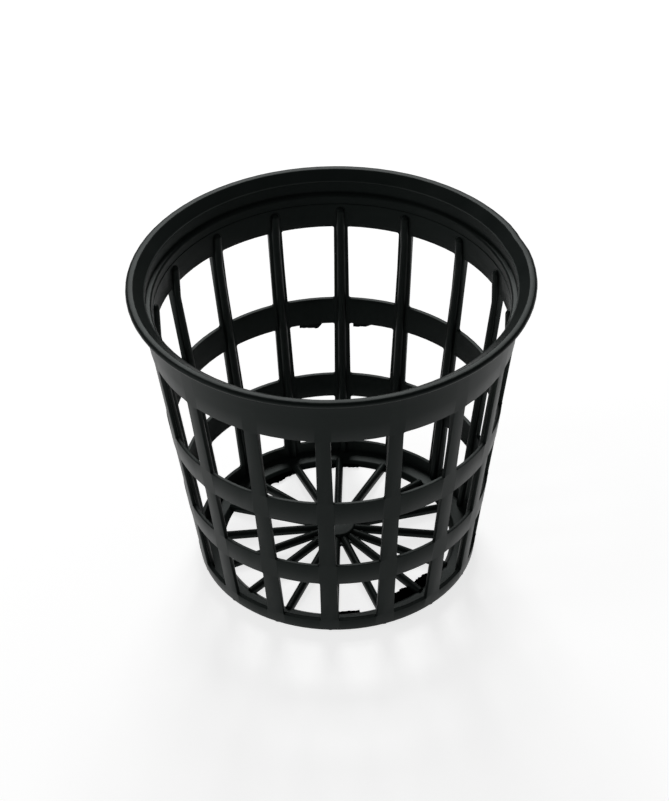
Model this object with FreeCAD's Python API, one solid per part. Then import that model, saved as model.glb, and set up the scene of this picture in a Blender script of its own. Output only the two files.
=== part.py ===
"""Hydroponic net pot, moulded in one piece of polypropylene.

The tapered wall is an open lattice of sixteen upright bars and two hoops between
a solid base ring and a deep collar with a rolled lip. Half-round ribs stiffen the
bars inside and end in domes on the collar. Sixteen spokes rise from the floor
ring to a hub in the middle. Thin mould flash is left at some of the edges.

Millimetres. The origin is the centre of the underside and +Z is up through the
mouth. Angles are measured from +Y towards +X, with a bar on +Y.
"""
import FreeCAD, Part
import math
import os
from FreeCAD import Vector

# ---------------------------------------------------------------- driving sizes
# overall
height = 100.0
rim_diameter = 120.0
mouth_diameter = 113.2     # outer cone of the wall, carried up to the rim's height
base_diameter = 85.3
wall_thickness = 1.2

# lip
lip_thickness = 1.8
lip_root_radius = 2.4
lip_crown_width = 1.3      # level top of the lip, inwards from its roll

# steps inside the collar, from the top down
collar_bore_diameter = 104.6
flare_depth = 2.5          # from the rim down to the first step
first_step_width = 0.4
seat_depth = 6.3           # from the rim down to the seat
seat_width = 1.8
seat_rounding = 0.7
last_step_depth = 9.4      # from the rim down to the last step
last_step_width = 0.3

# lattice, from the floor up
sill_height = 4.8
low_window_height = 16.8
low_hoop_height = 7.8
middle_window_height = 18.5
high_hoop_height = 8.6
high_window_height = 25.7
bar_count = 16
bar_width_at_base = 5.4
bar_width_at_rim = 4.0
jamb_draft = 0.02          # widening of a bar, per side, for each mm of depth
window_corner = 0.4        # size of the small flat across each window corner

# half-round ribs behind the bars
rib_width = 2.7
rib_depth = 1.5
rib_above_windows = 7.3    # from the top of the high windows to the rib's end

# floor
floor_thickness = 1.3
floor_ring_width = 6.4
floor_bevel = 1.7
foot_radius = 0.9

# spokes and hub
floor_turn = -1.6          # the floor's half of the mould sits turned by this many degrees
spoke_width = 2.0
spoke_thickness = 2.1
spoke_rise = 3.3           # how much higher a spoke lies at the hub than at the ring
web_radius = 7.5           # where the web between two spokes meets their centre lines
web_thickness = 0.9
button_diameter = 11.2
button_height = 0.5        # above the spokes
button_rounding = 0.5

# thin flash that the mould left; each outline is a short list of
# (angle in degrees, size in millimetres) points along the edge it hangs from
flash_thickness = 0.5
flash_root = 0.35          # how far a hanging tab is let into the hoop, across and up
hoop_flash = [             # size is the drop below the high hoop
    [(-15.9, 1.4), (-12.5, 1.8), (-9.0, 2.4), (-7.2, 0.2)],
    [(4.1, 1.8), (8.6, 1.4), (11.4, 0.2)],
]
floor_flash = [            # size is the reach inwards from the floor ring's bevel
    [(-44.5, 3.2), (-38.0, 4.2), (-25.5, 3.0), (-22.5, 1.8)],
    [(-7.5, 3.2), (0.0, 3.0), (8.7, 2.4)],
    [(114.0, 3.0), (126.5, 5.2), (142.5, 5.0), (149.0, 3.0)],
    [(166.0, 2.2), (177.5, 2.2)],
]

# how far one feature runs into another so that they merge
root_depth = 0.7
cutter_reach = 4.0         # how far a window cutter stands past each side of the wall
level_tolerance = 0.01     # two heights closer than this count as one

# how many flats or narrow bands make up each rounding
roll_bands = 4
lip_root_bands = 2
small_bands = 1
rib_flats = 4
rib_end_flats = 5
spoke_flats = 3

# ---------------------------------------------------------------- derived sizes
rim_radius = rim_diameter / 2
base_radius = base_diameter / 2
wall_slope = (mouth_diameter - base_diameter) / 2 / height
wall_angle = math.degrees(math.atan(wall_slope))
pitch = 360.0 / bar_count
low_hoop_bottom = sill_height + low_window_height
low_hoop_top = low_hoop_bottom + low_hoop_height
high_hoop_bottom = low_hoop_top + middle_window_height
high_hoop_top = high_hoop_bottom + high_hoop_height
collar_bottom = high_hoop_top + high_window_height
opening_radius = base_radius - wall_thickness - floor_ring_width
bore_radius = collar_bore_diameter / 2
bore_bottom = (bore_radius + wall_thickness - base_radius) / wall_slope


def outer_radius(z):
    """Radius of the wall's outer cone at height z."""
    return base_radius + wall_slope * z


def inner_radius(z):
    """Radius of the wall's inner cone at height z."""
    return outer_radius(z) - wall_thickness


def turned(shape, angle):
    """A copy of the shape turned about the pot's axis, from +Y towards +X."""
    copy = shape.copy()
    copy.rotate(Vector(0, 0, 0), Vector(0, 0, 1), -angle)
    return copy


def around(shape, first=0.0):
    """One copy of the shape for each bar, starting at the angle `first`."""
    return [turned(shape, first + k * pitch) for k in range(bar_count)]


def rounding(centre, radius, start, end, bands):
    """Points along an arc, evenly spaced, so that it becomes a few narrow flats or bands."""
    points = []
    for k in range(bands + 1):
        angle = math.radians(start + (end - start) * k / bands)
        points.append((centre[0] + radius * math.cos(angle), centre[1] + radius * math.sin(angle)))
    return points


def turned_solid(points):
    """The solid of revolution of a closed outline of (radius, z) points."""
    corners = [Vector(r, 0, z) for r, z in points]
    outline = Part.makePolygon(corners + corners[:1])
    return Part.Face(outline).revolve(Vector(0, 0, 0), Vector(0, 0, 1), 360)


# ---------------------------------------------------------------- turned shell
def outside_profile():
    """The outside, from the underside up the cone and round the lip's roll."""
    foot = rounding((base_radius - foot_radius, foot_radius), foot_radius, -90, 0, small_bands)
    under = height - lip_thickness
    root_centre = (outer_radius(under) + lip_root_radius, under - lip_root_radius)
    root = rounding(root_centre, lip_root_radius, 180 - wall_angle, 90, lip_root_bands)
    roll_radius = lip_thickness / 2
    roll = rounding((rim_radius - roll_radius, height - roll_radius), roll_radius, -90, 90, roll_bands)
    return foot + root + roll


def inside_profile():
    """The inside, from the lip's crown down the collar's steps to the floor ring."""
    below_seat = bore_radius + last_step_width
    above_seat = below_seat + seat_width
    crown = rim_radius - lip_thickness / 2 - lip_crown_width
    seat_centre = (below_seat + seat_rounding, height - seat_depth - seat_rounding)
    return [
        (crown, height),
        (above_seat + first_step_width, height - flare_depth),
        (above_seat, height - flare_depth),
        (above_seat, height - seat_depth),
        *rounding(seat_centre, seat_rounding, 90, 180, small_bands),
        (below_seat, height - last_step_depth),
        (bore_radius, height - last_step_depth),
        (bore_radius, bore_bottom),
        (inner_radius(floor_thickness), floor_thickness),
        (opening_radius + floor_bevel, floor_thickness),
        (opening_radius, 0),
    ]


# ---------------------------------------------------------------- lattice windows
def bar_half_width(z, radius):
    """Half the width of an upright bar at height z and at a distance from the axis."""
    share = z / height
    outside = (bar_width_at_base + (bar_width_at_rim - bar_width_at_base) * share) / 2
    return outside + jamb_draft * (outer_radius(z) - radius)


def window_corners(z, near, far):
    """The four corners of a window cutter at height z, for a window on +Y."""
    half = math.radians(pitch / 2)
    corners = []
    for side, radius in ((-1, near), (-1, far), (1, far), (1, near)):
        edge = bar_half_width(z, radius)
        x = side * (radius * math.sin(half) - edge * math.cos(half))
        y = radius * math.cos(half) + edge * math.sin(half)
        corners.append(Vector(x, y, z))
    return corners


def block_between(low, high):
    """A solid with flat faces between two outlines of four corners."""
    outlines = [low, high]
    for k in range(len(low)):
        n = (k + 1) % len(low)
        outlines.append([low[k], low[n], high[n], high[k]])
    faces = [Part.Face(Part.makePolygon(points + points[:1])) for points in outlines]
    return Part.makeSolid(Part.makeShell(faces))


def window_cutter(bottom, top):
    """A cutter for one window on +Y, with its four corners eased."""
    near = inner_radius(bottom) - cutter_reach
    far = outer_radius(top) + cutter_reach
    cutter = block_between(window_corners(bottom, near, far), window_corners(top, near, far))
    through = []
    for edge in cutter.Edges:
        a, b = (vertex.Point for vertex in edge.Vertexes)
        level = abs(a.z - b.z) < level_tolerance
        outward = abs(math.hypot(a.x, a.y) - math.hypot(b.x, b.y)) > cutter_reach
        if level and outward:
            through.append(edge)
    return cutter.makeChamfer(window_corner, through)


def window_cutters():
    """Cutters for the three rows of windows between the bars."""
    rows = [
        (sill_height, low_hoop_bottom),
        (low_hoop_top, high_hoop_bottom),
        (high_hoop_top, collar_bottom),
    ]
    cutters = []
    for bottom, top in rows:
        cutters += around(window_cutter(bottom, top), pitch / 2)
    return cutters


# ---------------------------------------------------------------- ribs and spokes
def crested_bar(width, depth, length, flats):
    """A bar along +Z from the origin, its back on y=0 and its rounded crest at y=-depth."""
    half = width / 2
    outline = [(half, 0), (-half, 0)] + rounding((0, half - depth), half, 180, 360, flats)
    corners = [Vector(x, y, 0) for x, y in outline]
    return Part.Face(Part.makePolygon(corners + corners[:1])).extrude(Vector(0, 0, length))


def round_topped_slab(width, depth, length):
    """A slab standing on z=0 against y=0, with a half-round top at z=length."""
    half = width / 2
    outline = [(half, 0), *rounding((0, length - half), half, 0, 180, rib_end_flats), (-half, 0)]
    corners = [Vector(x, 0, z) for x, z in outline]
    return Part.Face(Part.makePolygon(corners + corners[:1])).extrude(Vector(0, -depth, 0))


def rib():
    """The rib behind the bar on +Y. It leans with the bar, then stands up along the bore."""
    low = floor_thickness / 2
    depth = root_depth + rib_depth
    length = (bore_bottom - low) / math.cos(math.radians(wall_angle))
    leaning = crested_bar(rib_width, depth, length, rib_flats)
    leaning.rotate(Vector(0, 0, 0), Vector(1, 0, 0), -wall_angle)
    leaning.translate(Vector(0, inner_radius(low) + root_depth, low))
    rise = collar_bottom + rib_above_windows - bore_bottom
    upright = crested_bar(rib_width, depth, rise, rib_flats)
    upright = upright.common(round_topped_slab(rib_width, depth, rise))
    upright.translate(Vector(0, bore_radius + root_depth, bore_bottom))
    return [leaning, upright]


def spoke():
    """The spoke on +Y, flat below and rounded above, rising to the hub."""
    start = opening_radius + floor_bevel
    run = start - button_diameter / 2 + root_depth
    rise_angle = math.degrees(math.atan2(spoke_rise, run))
    bar = crested_bar(spoke_width, spoke_thickness, math.hypot(run, spoke_rise), spoke_flats)
    bar.rotate(Vector(0, 0, 0), Vector(1, 0, 0), rise_angle - 90)
    bar.rotate(Vector(0, 0, 0), Vector(0, 0, 1), 180)
    bar.translate(Vector(0, start, 0))
    return bar


# ---------------------------------------------------------------- hub
def web():
    """The flat web that joins the spokes round the hub, straight from spoke to spoke."""
    corners = []
    for k in range(bar_count):
        angle = math.radians(k * pitch)
        corners.append(Vector(web_radius * math.sin(angle), web_radius * math.cos(angle), spoke_rise))
    return Part.Face(Part.makePolygon(corners + corners[:1])).extrude(Vector(0, 0, web_thickness))


def button():
    """The button on the hub, with a rounded rim."""
    radius = button_diameter / 2
    top = spoke_rise + spoke_thickness + button_height
    rim = rounding((radius - button_rounding, top - button_rounding), button_rounding, 0, 90, small_bands)
    return turned_solid([(0, spoke_rise), (radius, spoke_rise), *rim, (0, top)])


# ---------------------------------------------------------------- mould flash
def hoop_flash_tab(edge):
    """A ragged tab that hangs from the lower edge of the high hoop."""
    middle = (edge[0][0] + edge[-1][0]) / 2
    radius = inner_radius(high_hoop_bottom)
    across = [radius * math.sin(math.radians(angle - middle)) for angle, drop in edge]
    outline = [(across[-1], flash_root), (across[0], flash_root)]
    outline += [(x, -drop) for x, (angle, drop) in zip(across, edge)]
    corners = [Vector(x, 0, z) for x, z in outline]
    tab = Part.Face(Part.makePolygon(corners + corners[:1])).extrude(Vector(0, flash_thickness, 0))
    tab.translate(Vector(0, radius + flash_root, high_hoop_bottom))
    return turned(tab, middle)


def floor_flash_film(edge):
    """A thin film on the underside that closes part of the gap beside the floor ring."""
    ring = opening_radius + floor_bevel
    points = [(angle, ring - reach) for angle, reach in edge]
    points += [(angle, ring + root_depth) for angle, reach in reversed(edge)]
    corners = []
    for angle, radius in points:
        turn = math.radians(angle)
        corners.append(Vector(radius * math.sin(turn), radius * math.cos(turn), 0))
    return Part.Face(Part.makePolygon(corners + corners[:1])).extrude(Vector(0, 0, flash_thickness))


# ---------------------------------------------------------------- whole pot
def net_pot():
    """The whole moulding as one solid."""
    shell = turned_solid(outside_profile() + inside_profile())
    lattice = shell.cut(window_cutters())
    added = [turned(web(), floor_turn), button(), *around(spoke(), floor_turn)]
    for piece in rib():
        added += around(piece)
    added += [hoop_flash_tab(edge) for edge in hoop_flash]
    added += [floor_flash_film(edge) for edge in floor_flash]
    return lattice.fuse(added).removeSplitter()


os.makedirs("parts", exist_ok=True)
pot = net_pot()
print("solids", len(pot.Solids), "valid", pot.isValid(), "volume", round(pot.Volume, 1))
pot.exportStep("parts/net_pot.step")
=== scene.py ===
# %% [markdown]
# # A hydroponic net pot
#
# One piece of black polypropylene, injection moulded. Its tapered wall is an open
# lattice, so that roots can leave it on every side. Sixteen upright bars and two
# hoops stand between a base ring and a deep collar with a rolled lip. A half-round
# rib runs up the back of each bar, and sixteen spokes carry a round hub in the floor.
#
# Lengths below are in millimetres, because such a pot is drawn in them. The mesh is
# scaled to metres once, at the end. Angles go from +X towards +Y, with a bar on +X.

import bmesh
import bpy
import math
import random
from mathutils import Matrix, Vector


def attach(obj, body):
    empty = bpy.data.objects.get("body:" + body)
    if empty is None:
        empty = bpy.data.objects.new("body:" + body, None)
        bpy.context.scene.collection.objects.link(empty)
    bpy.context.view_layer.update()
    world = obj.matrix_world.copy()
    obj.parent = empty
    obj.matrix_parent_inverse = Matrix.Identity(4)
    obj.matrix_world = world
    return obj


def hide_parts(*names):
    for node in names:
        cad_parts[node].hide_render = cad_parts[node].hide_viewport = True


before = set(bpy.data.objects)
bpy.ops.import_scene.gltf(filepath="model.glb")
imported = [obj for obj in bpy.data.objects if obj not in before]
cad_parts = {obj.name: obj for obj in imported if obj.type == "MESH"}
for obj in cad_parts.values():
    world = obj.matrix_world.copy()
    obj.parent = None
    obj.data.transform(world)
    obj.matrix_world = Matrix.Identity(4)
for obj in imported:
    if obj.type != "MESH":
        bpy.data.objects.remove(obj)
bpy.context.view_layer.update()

# %% [markdown]
# ## Sizes
# The sizes are those of the moulding's own drawing. The wall is a cone 1.2 mm thick,
# and every bar, hoop and step is placed on it by its height above the floor.

# %% Sizes of the moulding
MM = 0.001
HEIGHT = 100.0
RIM_RADIUS = 60.0
BASE_RADIUS = 42.65
WALL_SLOPE = (113.2 - 85.3) / 2 / HEIGHT
WALL = 1.2
LIP = 1.8
LIP_CROWN = 1.3            # level top of the lip, inwards from its round
BORE = 52.3                # radius of the collar's upright inside
FIRST_STEP = (0.4, 2.5)    # each step's width, and its depth below the rim
SEAT = (1.8, 6.3)
LAST_STEP = (0.3, 9.4)

SILL_TOP = 4.8
LOW_HOOP = (21.6, 29.4)
HIGH_HOOP = (47.9, 56.5)
COLLAR_BOTTOM = 82.2
WINDOWS = [(SILL_TOP, LOW_HOOP[0]), (LOW_HOOP[1], HIGH_HOOP[0]), (HIGH_HOOP[1], COLLAR_BOTTOM)]
BARS = 16
PITCH = 360.0 / BARS
BAR_AT_BASE = 5.4
BAR_AT_RIM = 4.0
JAMB_DRAFT = 0.02          # widening of a bar, per side, for each mm inwards

FLOOR = 1.3
RING_INSIDE = 35.05
RING_BEVEL = 1.7
SPOKE_RISE = 3.3
SPOKE_THICK = 2.1
SPOKE_WIDTH = 2.4
SPOKE_END = 4.9            # distance from the axis at which a spoke ends, inside the button
FLOOR_TURN = 1.6           # the floor's half of the mould sits turned by this many degrees


def outer_radius(z):
    """Radius of the wall's outer cone at height z."""
    return BASE_RADIUS + WALL_SLOPE * z


def inner_radius(z):
    """Radius of the wall's inner cone at height z."""
    return outer_radius(z) - WALL


def bar_half_width(z, radius):
    """Half a bar's width, which grows inwards so that the pot leaves its mould."""
    at_outside = (BAR_AT_BASE + (BAR_AT_RIM - BAR_AT_BASE) * z / HEIGHT) / 2
    return at_outside + JAMB_DRAFT * (outer_radius(z) - radius)


print("wall radii at the foot and the rim, mm:", outer_radius(0), outer_radius(HEIGHT))


# %% [markdown]
# ## Tools for turned and repeated shapes
# A moulded pot is mostly turned on a lathe in its steel mould. So the body starts as
# a wire outline, its corners are eased as a toolmaker would stone them, and it is
# spun. The same few helpers serve every piece.

# %% Helpers
def wire(mesh, points):
    """A chain of edges through (radius, z) points, in the plane through +X and +Z."""
    corners = [mesh.verts.new((r, 0, z)) for r, z in points]
    for a, b in zip(corners, corners[1:]):
        mesh.edges.new((a, b))
    return corners


def ease(mesh, corners, size, segments=3):
    """Rounds these corners of a wire."""
    bmesh.ops.bevel(mesh, geom=corners, offset=size, segments=segments,
                    profile=0.5, affect='VERTICES', clamp_overlap=True)


def spin_all(mesh, angle, steps, merge=False):
    """Spins everything in the mesh about the pot's axis."""
    bmesh.ops.spin(mesh, geom=mesh.verts[:] + mesh.edges[:], cent=(0, 0, 0), axis=(0, 0, 1),
                   dvec=(0, 0, 0), angle=math.radians(angle), steps=steps, use_merge=merge)


def polar(corner):
    """Radius and angle in degrees of a vertex, seen from above."""
    return math.hypot(corner.co.x, corner.co.y), math.degrees(math.atan2(corner.co.y, corner.co.x))


def set_polar(corner, radius, angle):
    """Moves a vertex to a radius and an angle, and keeps its height."""
    turn = math.radians(angle)
    corner.co.x = radius * math.cos(turn)
    corner.co.y = radius * math.sin(turn)


def repeat_round(mesh, count):
    """Copies everything in the mesh round the axis and joins the copies."""
    first = mesh.verts[:] + mesh.edges[:] + mesh.faces[:]
    for k in range(1, count):
        copy = bmesh.ops.duplicate(mesh, geom=first)["geom"]
        corners = [g for g in copy if isinstance(g, bmesh.types.BMVert)]
        turn = Matrix.Rotation(math.radians(360.0 / count * k), 3, 'Z')
        bmesh.ops.rotate(mesh, cent=(0, 0, 0), matrix=turn, verts=corners)
    bmesh.ops.remove_doubles(mesh, verts=mesh.verts, dist=0.01)


def faces_out(mesh):
    """Turns every face outwards."""
    bmesh.ops.recalc_face_normals(mesh, faces=mesh.faces)
    return len(mesh.faces)


# %% [markdown]
# ## Outline of the wall
# The outside is a plain cone from the foot to the lip. The inside of the collar steps
# back twice, which gives the stacked pots a seat and keeps them from jamming. The
# lip is a thin flange with a full round at its edge.

# %% Outline of the wall, as one closed loop
COLLAR_LEVELS = (88.0, 93.0)    # rows of faces outside the collar
BORE_LEVEL = 86.0               # the row of faces inside it


def wall_outline(mesh):
    """The closed wire of the wall, lip and floor ring, with its corners eased."""
    under = HEIGHT - LIP
    below_seat = BORE + LAST_STEP[0]
    above_seat = below_seat + SEAT[0]
    first_level, seat_level, last_level = (HEIGHT - step[1] for step in (FIRST_STEP, SEAT, LAST_STEP))
    levels = []
    for low, high in WINDOWS:
        levels += [low, low + CORNER, (low + high) / 2, high - CORNER, high]
    outside = [(outer_radius(z), z) for z in levels]
    inside = [(min(inner_radius(z), BORE), z) for z in reversed(levels)]
    foot = (BASE_RADIUS, 0.0)
    lip_root = (outer_radius(under), under)
    lip_low = (RIM_RADIUS, under)
    lip_top = (RIM_RADIUS, HEIGHT)
    crown = (RIM_RADIUS - LIP / 2 - LIP_CROWN, HEIGHT)
    flare = (above_seat + FIRST_STEP[0], first_level)
    first_step = (above_seat, first_level)
    seat_back = (above_seat, seat_level)
    seat_nose = (below_seat, seat_level)
    last_step_top = (below_seat, last_level)
    last_step = (BORE, last_level)
    floor_corner = (inner_radius(FLOOR), FLOOR)
    ring_top = (RING_INSIDE + RING_BEVEL, FLOOR)
    ring_edge = (RING_INSIDE, 0.0)
    collar = [(outer_radius(z), z) for z in COLLAR_LEVELS]
    points = [foot, *outside, *collar, lip_root, lip_low, lip_top, crown, flare, first_step,
              seat_back, seat_nose, last_step_top, last_step, (BORE, BORE_LEVEL), *inside,
              floor_corner, ring_top, ring_edge]
    corners = wire(mesh, points)
    mesh.edges.new((corners[-1], corners[0]))
    named = dict(zip(points, corners))
    eased = [
        ([lip_root], 1.6, 5),
        ([foot], 0.9, 4),
        ([lip_low, lip_top], 0.86, 5),
        ([seat_nose], 0.75, 5),
        ([crown, flare, first_step, seat_back], 0.25, 2),
        ([last_step_top, last_step], 0.12, 2),
        ([floor_corner, ring_top, ring_edge], 0.3, 2),
    ]
    for places, size, segments in eased:
        ease(mesh, [named[place] for place in places], size, segments)


# %% [markdown]
# ## The wall with its windows
# One pitch of the wall, from the middle of a bar to the middle of the next, is spun in
# eight steps. Its columns are then pushed sideways onto the edges of the bars, which
# are wider at the foot than at the collar. The faces in the windows go, front and back,
# and a bridge between the two holes makes the window's four sides.

# %% One pitch of the wall
CORNER = 0.5              # radius of a window's corners
STEPS = 8                  # columns of faces in one pitch
EDGE_ROUND = 0.16          # easing of a window's edges


def column_angle(k, z, radius):
    """Angle of column k at height z, with columns 1 and 7 on the edges of the bars."""
    side = min(k, STEPS - k)
    edge = bar_half_width(z, radius)
    on_edge = math.degrees(math.asin(edge / radius))
    past_corner = math.degrees(math.asin((edge + CORNER) / radius))
    angle = [0.0, on_edge, past_corner, (past_corner + PITCH / 2) / 2, PITCH / 2][side]
    return angle if k <= STEPS / 2 else PITCH - angle


def place_columns(mesh):
    """Pushes each column of vertices to its place."""
    for corner in mesh.verts:
        radius, angle = polar(corner)
        k = round(angle / (PITCH / STEPS))
        set_polar(corner, radius, column_angle(k, corner.co.z, radius))


def in_window(face, low, high):
    """Whether a face lies in the window, its four small corner faces left out."""
    centre = face.calc_center_median()
    radius, angle = math.hypot(centre.x, centre.y), math.degrees(math.atan2(centre.y, centre.x))
    side = min(angle, PITCH - angle)
    edge = math.degrees(math.asin(bar_half_width(centre.z, radius) / radius))
    across = math.radians(side - edge) * radius
    level = min(centre.z - low, high - centre.z)
    return level > 0 and across > 0 and not (across < CORNER and level < CORNER)


def round_corner(corner, low, high):
    """Pulls a hole's inner corner point onto the corner's arc."""
    radius, angle = polar(corner)
    level = min(corner.co.z - low, high - corner.co.z)
    k = 1 if angle < PITCH / 2 else -1
    short = CORNER * math.cos(math.radians(45))
    if abs(level - CORNER) < 0.01:
        turn = math.degrees(short / radius)
        set_polar(corner, radius, angle - k * turn)
        corner.co.z += -short if corner.co.z < (low + high) / 2 else short


def cut_window(mesh, low, high):
    """Opens one window through the wall, bridges its sides, and returns the edges round it."""
    gone = [f for f in mesh.faces if in_window(f, low, high)]
    bmesh.ops.delete(mesh, geom=gone, context='FACES')
    loop = [e for e in mesh.edges if e.is_boundary and low - 0.01 <= e.verts[0].co.z <= high + 0.01
            and not all(abs(polar(v)[1]) < 0.01 or abs(polar(v)[1] - PITCH) < 0.01 for v in e.verts)]
    for corner in {v for e in loop for v in e.verts}:
        if len(corner.link_faces) == 1:
            round_corner(corner, low, high)
    bmesh.ops.bridge_loops(mesh, edges=loop)
    return loop


def wall():
    """The wall, lip and floor ring with all 48 windows."""
    mesh = bmesh.new()
    wall_outline(mesh)
    spin_all(mesh, PITCH, STEPS)
    place_columns(mesh)
    rims = []
    for low, high in WINDOWS:
        rims += cut_window(mesh, low, high)
    rims = [e for e in rims if e.is_valid]
    bmesh.ops.bevel(mesh, geom=rims, offset=EDGE_ROUND, segments=2, profile=0.5,
                    affect='EDGES', material=-1, clamp_overlap=True)
    repeat_round(mesh, BARS)
    print("wall faces", faces_out(mesh))
    return mesh


# %% [markdown]
# ## Ribs
# The mould's core carries a ball-nosed groove behind each bar. So each rib is a finger
# with a round end, sunk into the wall. It leans with the wall up to the bore, and then
# stands upright.

# %% Ribs behind the bars
RIB_WIDTH = 2.7
RIB_DEPTH = 1.5
RIB_TOP = COLLAR_BOTTOM + 7.3
RIB_FOOT = 0.4             # the rib starts inside the floor ring
BORE_BOTTOM = (BORE + WALL - BASE_RADIUS) / WALL_SLOPE


def rib():
    """The rib behind the bar on +X, a round finger that bends where the bore begins."""
    mesh = bmesh.new()
    radius = RIB_WIDTH / 2
    end = RIB_TOP - radius
    nose = [(radius * math.cos(math.radians(a)), end + radius * math.sin(math.radians(a)))
            for a in range(0, 91, 15)]
    wire(mesh, [(0, RIB_FOOT), (radius, RIB_FOOT), (radius, BORE_BOTTOM)] + nose)
    spin_all(mesh, 360, 20, merge=True)
    bmesh.ops.remove_doubles(mesh, verts=mesh.verts, dist=0.001)
    for corner in mesh.verts:
        wall_inside = min(inner_radius(corner.co.z), BORE)
        corner.co.x += wall_inside - (RIB_DEPTH - radius)
    repeat_round(mesh, BARS)
    print("rib faces", faces_out(mesh))
    return mesh


# %% [markdown]
# ## Floor: spokes, web and button
# The spokes are flat below and round on top, and rise a little towards the hub. Round
# the hub they run together in a thin web, and a button covers the place where the
# plastic was fed into the mould.

# %% Spokes
def turn_floor(mesh):
    """Turns a piece of the floor as its half of the mould sat."""
    turn = Matrix.Rotation(math.radians(FLOOR_TURN), 3, 'Z')
    bmesh.ops.rotate(mesh, cent=(0, 0, 0), matrix=turn, verts=mesh.verts)


def spoke():
    """The spoke on +X, from the floor ring to the hub."""
    mesh = bmesh.new()
    half = SPOKE_WIDTH / 2
    start = RING_INSIDE + RING_BEVEL
    outline = [(-half, 0), (half, 0)]
    outline += [(half * math.cos(math.radians(a)), SPOKE_THICK - half + half * math.sin(math.radians(a)))
                for a in range(0, 181, 22)]
    end_face = mesh.faces.new([mesh.verts.new((start, y, z)) for y, z in outline])
    grown = bmesh.ops.extrude_face_region(mesh, geom=[end_face])
    far_end = [g for g in grown["geom"] if isinstance(g, bmesh.types.BMVert)]
    bmesh.ops.translate(mesh, verts=far_end, vec=(SPOKE_END - start, 0, SPOKE_RISE))
    repeat_round(mesh, BARS)
    turn_floor(mesh)
    print("spoke faces", faces_out(mesh))
    return mesh


# %% Web and button
BUTTON_RADIUS = 5.6
BUTTON_TOP = SPOKE_RISE + SPOKE_THICK + 0.5
WEB_RADIUS = 7.9
WEB_TOP = SPOKE_RISE + 0.9
SLIT = 0.62                # radius of the round end of a gap between two spokes


def hub():
    """The web between the spokes and the button over it."""
    mesh = bmesh.new()
    points = [(0, SPOKE_RISE), (WEB_RADIUS, SPOKE_RISE), (WEB_RADIUS, WEB_TOP),
              (BUTTON_RADIUS, WEB_TOP), (BUTTON_RADIUS, BUTTON_TOP), (0, BUTTON_TOP)]
    corners = wire(mesh, points)
    ease(mesh, [corners[4]], 0.5, 4)
    spin_all(mesh, 360, BARS * 6, merge=True)
    bmesh.ops.remove_doubles(mesh, verts=mesh.verts, dist=0.001)
    for corner in mesh.verts:
        radius, angle = polar(corner)
        if radius > (BUTTON_RADIUS + WEB_RADIUS) / 2:
            across = abs(math.radians(angle % PITCH - PITCH / 2)) * radius
            inset = SLIT - math.sqrt(max(SLIT ** 2 - across ** 2, 0))
            set_polar(corner, radius + inset, angle)
    turn_floor(mesh)
    print("hub faces", faces_out(mesh))
    return mesh


# %% [markdown]
# ## Flash
# Where the halves of the mould did not quite close, thin plastic crept between them.
# It hangs in ragged tabs under the high hoop, and closes parts of the gaps beside the
# floor ring. Each list gives (angle, size) points along the edge that it grows from.

# %% Flash
FLASH = 0.5
RAGGEDNESS = 0.09          # share by which a strip's edge wanders
FLASH_ROOT = (0.35, 0.7)   # how far a tab runs up into the hoop, and a film into the ring
HOOP_FLASH = [
    [(105.9, 1.4), (102.5, 1.8), (99.0, 2.4), (97.2, 0.2)],
    [(85.9, 1.8), (81.4, 1.4), (78.6, 0.2)],
]
FLOOR_FLASH = [
    [(134.5, 3.2), (128.0, 4.2), (115.5, 3.0), (112.5, 1.8)],
    [(97.5, 3.2), (90.0, 3.0), (81.3, 2.4)],
    [(-24.0, 3.0), (-36.5, 5.2), (-52.5, 5.0), (-59.0, 3.0)],
    [(-76.0, 2.2), (-87.5, 2.2)],
]


def size_at(edge, angle):
    """The flash's size at an angle, straight between the points of its list."""
    for (a, low), (b, high) in zip(edge, edge[1:]):
        if b <= angle <= a:
            return low + (high - low) * (a - angle) / (a - b)
    return edge[-1][1]


def under_hoop(angle, size):
    """Root and tip of a tab below the high hoop."""
    turn = math.radians(angle)
    radius = inner_radius(HIGH_HOOP[0]) + 0.6
    across = (radius * math.cos(turn), radius * math.sin(turn))
    return (*across, HIGH_HOOP[0] + FLASH_ROOT[0]), (*across, HIGH_HOOP[0] - size)


def beside_ring(angle, size):
    """Root and tip of a film on the floor ring's underside."""
    turn = math.radians(angle)
    ring = RING_INSIDE + RING_BEVEL
    return [(r * math.cos(turn), r * math.sin(turn), 0.55) for r in (ring + FLASH_ROOT[1], ring - size)]


def flash():
    """All the flash, as thin strips with ragged edges."""
    mesh = bmesh.new()
    ragged = random.Random(7)
    for edges, place in ((HOOP_FLASH, under_hoop), (FLOOR_FLASH, beside_ring)):
        for edge in edges:
            first, last = edge[0][0], edge[-1][0]
            steps = round((first - last) / 0.9)
            rows = []
            for k in range(steps + 1):
                angle = first + (last - first) * k / steps
                size = size_at(edge, angle) * (1 + RAGGEDNESS * ragged.uniform(-1, 1))
                rows.append([mesh.verts.new(point) for point in place(angle, size)])
            strip = [mesh.faces.new((a[0], b[0], b[1], a[1])) for a, b in zip(rows, rows[1:])]
            bmesh.ops.solidify(mesh, geom=strip, thickness=FLASH)
    print("flash faces", faces_out(mesh))
    return mesh


# %% [markdown]
# ## Out of round
# The collar left the mould warm and set slightly narrower from front to back, and its
# lip took a small dent.

# %% Out of round
SOFT_FROM = 60.0           # height from which the wall is drawn in
FRONT_DRAW = 0.015         # shares of the radius at the rim
BACK_DRAW = 0.008
DENT_FROM = 92.0
DENT_DEPTH = 0.45
DENT_MIDDLE, DENT_REACH = 22.0, 5.0    # degrees


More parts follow.
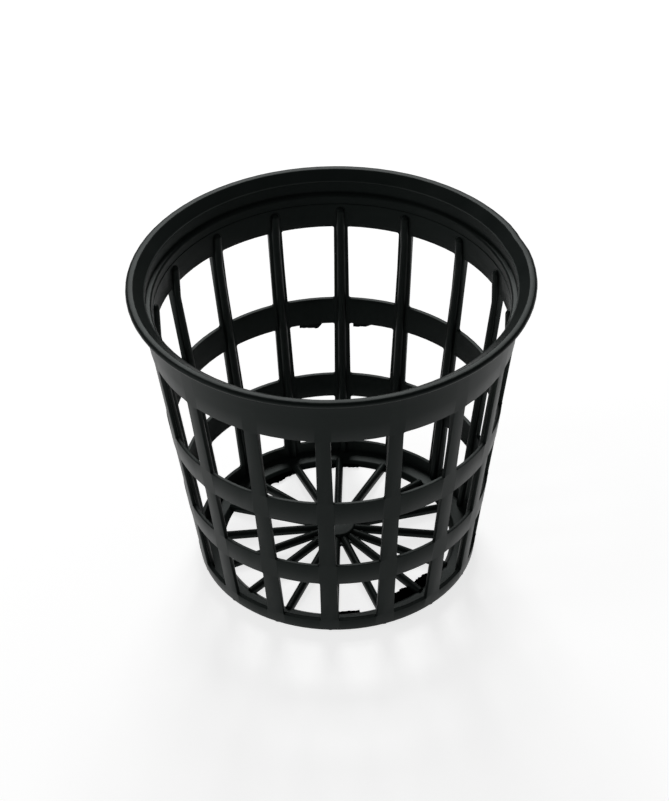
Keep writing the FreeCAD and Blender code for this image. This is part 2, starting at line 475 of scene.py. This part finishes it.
def set_out_of_round(mesh):
    """Draws the collar in at the front and back, and dents the lip."""
    for corner in mesh.verts:
        radius, angle = polar(corner)
        rise = max(0.0, (corner.co.z - SOFT_FROM) / (HEIGHT - SOFT_FROM))
        corner.co.y *= 1 - rise * (FRONT_DRAW if corner.co.y < 0 else BACK_DRAW)
        if corner.co.z > DENT_FROM:
            dent = max(0.0, 1 - abs(angle - DENT_MIDDLE) / DENT_REACH)
            dent *= (corner.co.z - DENT_FROM) / (HEIGHT - DENT_FROM)
            share = 1 - DENT_DEPTH * dent / radius
            corner.co.x *= share
            corner.co.y *= share


# %% [markdown]
# ## Joining the pieces
# The mould fills in one shot, so all of these are one body of plastic, and they become
# one piece here.

# %% One piece
def joined(name, parts):
    """One object, in metres, from several meshes."""
    whole = bmesh.new()
    for part in parts:
        data = bpy.data.meshes.new(name)
        part.to_mesh(data)
        whole.from_mesh(data)
        bpy.data.meshes.remove(data)
        part.free()
    set_out_of_round(whole)
    bmesh.ops.scale(whole, vec=(MM, MM, MM), verts=whole.verts)
    for face in whole.faces:
        face.smooth = True
    data = bpy.data.meshes.new(name)
    whole.to_mesh(data)
    whole.free()
    data.set_sharp_from_angle(angle=math.radians(38))
    piece = bpy.data.objects.new(name, data)
    bpy.context.scene.collection.objects.link(piece)
    return piece


pot = joined("net_pot_moulding", [wall(), rib(), spoke(), hub(), flash()])
print("triangles", sum(len(p.vertices) - 2 for p in pot.data.polygons))
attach(pot, "root")
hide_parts("net_pot")

# %% [markdown]
# ## Black polypropylene
# The plastic is coloured through with carbon black. Its skin copies the mould: nearly
# smooth, slightly cloudy in gloss where the melt cooled unevenly.

# %% Plastic
def plastic():
    """Satin black moulded plastic."""
    material = bpy.data.materials.new("pot_plastic")
    material.use_nodes = True
    tree = material.node_tree
    shader = tree.nodes["Principled BSDF"]
    shader.inputs["Specular IOR Level"].default_value = 0.12
    shader.inputs["Specular Tint"].default_value = (0.86, 1.0, 0.96, 1)
    place = tree.nodes.new("ShaderNodeTexCoord")
    cloud = tree.nodes.new("ShaderNodeTexNoise")
    cloud.inputs["Scale"].default_value = 90.0
    cloud.inputs["Detail"].default_value = 4.0
    tree.links.new(place.outputs["Object"], cloud.inputs["Vector"])
    tint = tree.nodes.new("ShaderNodeValToRGB")
    tint.color_ramp.elements[0].position = 0.3
    tint.color_ramp.elements[0].color = (0.0085, 0.0118, 0.0108, 1)
    tint.color_ramp.elements[1].position = 0.7
    tint.color_ramp.elements[1].color = (0.0135, 0.0175, 0.0162, 1)
    tree.links.new(cloud.outputs["Fac"], tint.inputs["Fac"])
    tree.links.new(tint.outputs["Color"], shader.inputs["Base Color"])
    gloss = tree.nodes.new("ShaderNodeMapRange")
    gloss.inputs["To Min"].default_value = 0.34
    gloss.inputs["To Max"].default_value = 0.46
    tree.links.new(cloud.outputs["Fac"], gloss.inputs["Value"])
    tree.links.new(gloss.outputs["Result"], shader.inputs["Roughness"])
    grain = tree.nodes.new("ShaderNodeTexNoise")
    grain.inputs["Scale"].default_value = 1800.0
    tree.links.new(place.outputs["Object"], grain.inputs["Vector"])
    bump = tree.nodes.new("ShaderNodeBump")
    bump.inputs["Strength"].default_value = 0.12
    bump.inputs["Distance"].default_value = 0.0001
    tree.links.new(grain.outputs["Fac"], bump.inputs["Height"])
    tree.links.new(bump.outputs["Normal"], shader.inputs["Normal"])
    return material


pot.data.materials.append(plastic())
print("material", pot.data.materials[0].name)

# %% [markdown]
# ## Stage
# A plain pale floor, two soft panels, and a camera that looks down into the mouth. The
# back panel catches the steps, domes and spokes, which face upwards. The outside of the
# wall is dark plastic that mostly mirrors the floor.

# %% Floor
def stage_floor():
    """A wide pale floor just under the pot."""
    mesh = bmesh.new()
    bmesh.ops.create_grid(mesh, x_segments=1, y_segments=1, size=3.0)
    data = bpy.data.meshes.new("stage_floor")
    mesh.to_mesh(data)
    mesh.free()
    floor = bpy.data.objects.new("stage_floor", data)
    bpy.context.scene.collection.objects.link(floor)
    material = bpy.data.materials.new("stage_white")
    material.use_nodes = True
    tree = material.node_tree
    shader = tree.nodes["Principled BSDF"]
    shader.inputs["Base Color"].default_value = (0.6, 0.6, 0.6, 1)
    shader.inputs["Roughness"].default_value = 0.9
    path = tree.nodes.new("ShaderNodeLightPath")
    seen = tree.nodes.new("ShaderNodeMath")
    seen.operation = 'ADD'
    tree.links.new(path.outputs["Is Camera Ray"], seen.inputs[0])
    tree.links.new(path.outputs["Is Glossy Ray"], seen.inputs[1])
    through = tree.nodes.new("ShaderNodeMath")
    through.operation = 'ADD'
    tree.links.new(seen.outputs[0], through.inputs[0])
    tree.links.new(path.outputs["Is Transmission Ray"], through.inputs[1])
    dimmed = tree.nodes.new("ShaderNodeMath")
    dimmed.operation = 'MULTIPLY'
    dimmed.inputs[1].default_value = 0.75
    tree.links.new(through.outputs[0], dimmed.inputs[0])
    shader.inputs["Emission Color"].default_value = (1, 1, 1, 1)
    tree.links.new(dimmed.outputs[0], shader.inputs["Emission Strength"])
    data.materials.append(material)
    print("stage floor", floor.dimensions[:])


stage_floor()

# %% Light
def panel(name, place, size, power):
    """A square soft light that faces the pot."""
    lamp = bpy.data.lights.new(name, 'AREA')
    lamp.size = size
    lamp.energy = power
    holder = bpy.data.objects.new(name, lamp)
    holder.location = place
    holder.rotation_mode = 'QUATERNION'
    holder.rotation_quaternion = (Vector((0, 0, 0.05)) - Vector(place)).to_track_quat('-Z', 'Y')
    bpy.context.scene.collection.objects.link(holder)
    print(name, power, "W")


panel("back_panel", (-0.1, 1.0, 0.85), 0.5, 7)
panel("side_panel", (-1.2, -0.3, 0.5), 0.4, 2)

world = bpy.data.worlds.new("studio")
world.use_nodes = True
world.node_tree.nodes["Background"].inputs["Color"].default_value = (1, 1, 1, 1)
world.node_tree.nodes["Background"].inputs["Strength"].default_value = 0.12
bpy.context.scene.world = world

# %% [markdown]
# The camera stands 0.67 m in front of the pot and looks down at it by 38 degrees.

# %% Camera
def camera():
    """The camera, at the pot's three-quarter view from above."""
    data = bpy.data.cameras.new("camera")
    data.lens = 127.6
    data.sensor_width = 36.0
    data.clip_start = 0.05
    data.clip_end = 20.0
    holder = bpy.data.objects.new("camera", data)
    bpy.context.scene.collection.objects.link(holder)
    aside, down, roll = math.radians(3.682), math.radians(38.31), -0.0237
    ahead = Vector((-math.sin(aside) * math.cos(down), math.cos(aside) * math.cos(down), -math.sin(down)))
    right = ahead.cross(Vector((0, 0, 1))).normalized()
    up = right.cross(ahead)
    right, up = (right * math.cos(roll) + up * math.sin(roll),
                 up * math.cos(roll) - right * math.sin(roll))
    turn = Matrix((right, up, -ahead)).transposed().to_4x4()
    stand = Vector((0.0432, -0.6689, 0.5843))
    holder.matrix_world = Matrix.Translation(stand) @ turn
    bpy.context.scene.camera = holder
    print("lens", data.lens, "at", stand[:])


camera()
bpy.context.scene.view_settings.view_transform = 'Standard'

# %% [markdown]
# ## Finish
# The dressed pot stays inside the box of the solid.

# %% Finish
bpy.context.view_layer.update()
